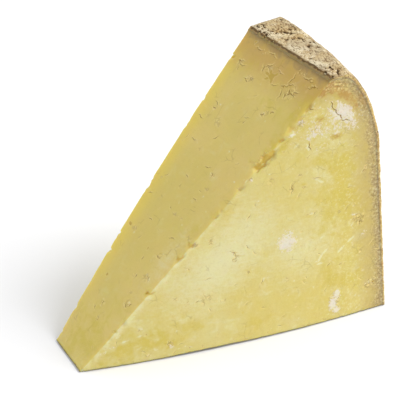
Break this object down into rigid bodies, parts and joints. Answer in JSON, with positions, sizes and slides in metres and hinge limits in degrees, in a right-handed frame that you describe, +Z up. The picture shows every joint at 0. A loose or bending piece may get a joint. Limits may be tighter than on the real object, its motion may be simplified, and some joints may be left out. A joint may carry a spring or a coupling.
{
  "type": "wedge of cantal cheese",
  "caption": "Wedge of pressed cantal cheese with cut faces and a dry natural rind, standing on its flat cut.",
  "frame": {"origin": "on the surface it stands on, under the middle of the wedge's box", "axes": "+X from the thin edge towards the rind along the front cut, +Y from the front cut to the back cut, +Z up"},
  "size_m": [0.1182, 0.0532, 0.1003],
  "materials": {
    "paste": "pale yellow pressed paste, waxy and finely crumbly where cut",
    "rind": "dry beige-grey natural crust, pitted and cracked",
    "mould": "dry white mould bloom, powdery"
  },
  "bodies": {
    "root": {"cheese_wedge": "paste"}
  },
  "joints": []
}
